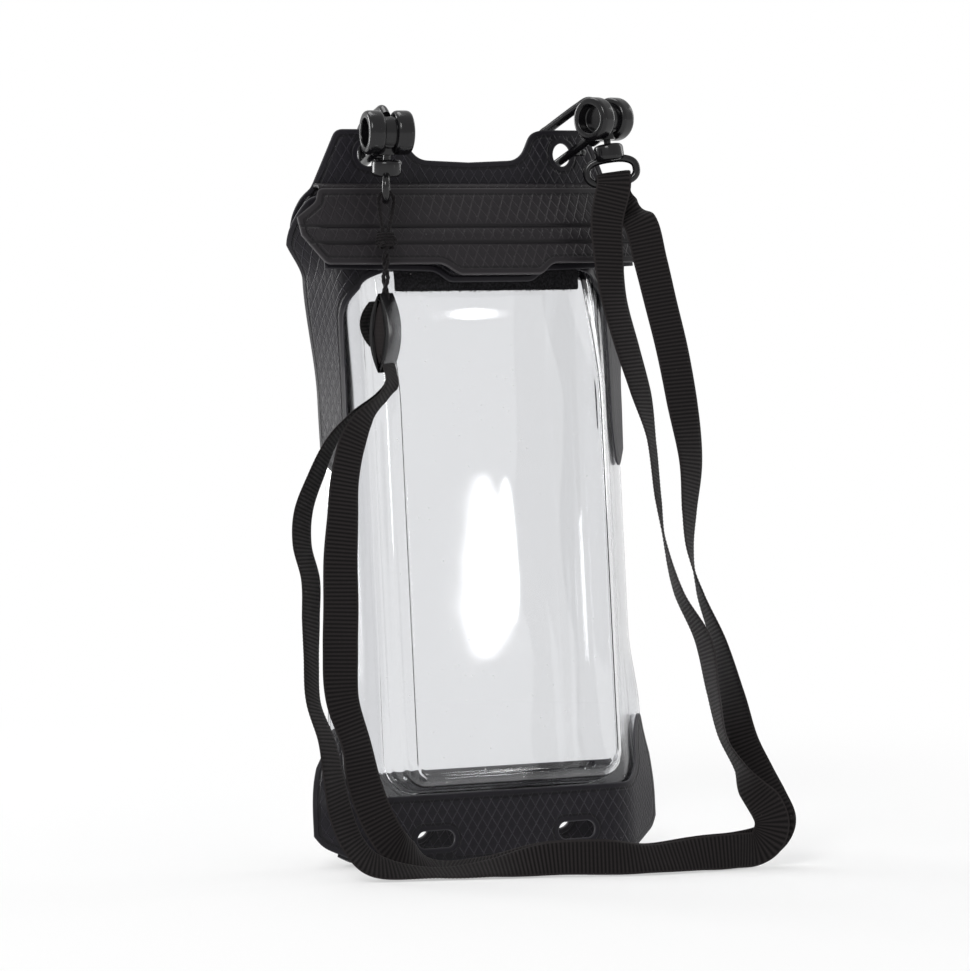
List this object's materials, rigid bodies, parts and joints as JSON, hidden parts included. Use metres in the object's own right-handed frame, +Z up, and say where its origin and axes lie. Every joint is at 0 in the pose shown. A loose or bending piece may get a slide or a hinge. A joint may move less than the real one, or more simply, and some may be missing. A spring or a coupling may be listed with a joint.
{
  "type": "waterproof phone pouch",
  "caption": "Clear soft pouch in a black welded frame with a folded hook-and-loop closure, swivel bolt snaps and a ribbon lanyard that clips off.",
  "frame": {"origin": "middle of the foot, on the surface that the pouch stands on", "axes": "+Z up, X across the pouch, the front faces -Y"},
  "size_m": [0.1348, 0.0917, 0.2153],
  "materials": {
    "black_sheet": "soft plastic sheet embossed with small diamonds",
    "clear_film": "clear glossy flexible film",
    "fuzzy_strip": "hook and loop fastener tape",
    "glossy_black": "moulded, glossy",
    "spring_wire": "bright wire",
    "webbing": "ribbed woven ribbon"
  },
  "bodies": {
    "root": {"front_band": "black_sheet", "rear_band": "black_sheet", "front_panel": "black_sheet", "rear_panel": "black_sheet", "closure_flap": "black_sheet", "inner_lip": "black_sheet", "front_window": "clear_film", "rear_window": "clear_film", "hook_strip": "fuzzy_strip", "loop_strip": "fuzzy_strip", "left_snap_body": "glossy_black", "left_snap_spring": "spring_wire", "right_snap_body": "glossy_black", "right_snap_spring": "spring_wire", "clamp_right_plate": "glossy_black", "clamp_left_plate": "glossy_black", "ribbon_ends": "webbing", "ribbon_end_loop": "webbing", "ribbon_front_strand": "webbing", "ribbon_rear_strand": "webbing", "lanyard_cord": "webbing"},
    "left_bolt": {"left_snap_bolt": "glossy_black"},
    "right_bolt": {"right_snap_bolt": "glossy_black"},
    "left_ring": {"left_swivel_ring": "glossy_black"},
    "right_ring": {"right_swivel_ring": "glossy_black"}
  },
  "joints": [
    {"name": "left_bolt_slide", "type": "slide", "parent": "root", "child": "left_bolt", "axis": [-0.2008, -0.9448, 0.2588], "range_m": [0, 0.006], "stiffness_N_per_m": 100, "springref_m": -0.002},
    {"name": "right_bolt_slide", "type": "slide", "parent": "root", "child": "right_bolt", "axis": [0.2703, -0.8318, 0.4848], "range_m": [0, 0.006], "stiffness_N_per_m": 100, "springref_m": -0.002},
    {"name": "left_ring_swivel", "type": "hinge", "parent": "root", "child": "left_ring", "pos_m": [-0.03546, -0.00968, 0.19744], "axis": [-0.0109, -0.0512, 0.9986], "range_deg": [-25, 25]},
    {"name": "right_ring_swivel", "type": "hinge", "parent": "root", "child": "right_ring", "pos_m": [0.03701, -0.00885, 0.2018], "axis": [-0.059, 0.1815, 0.9816], "range_deg": [-8, 8]}
  ]
}
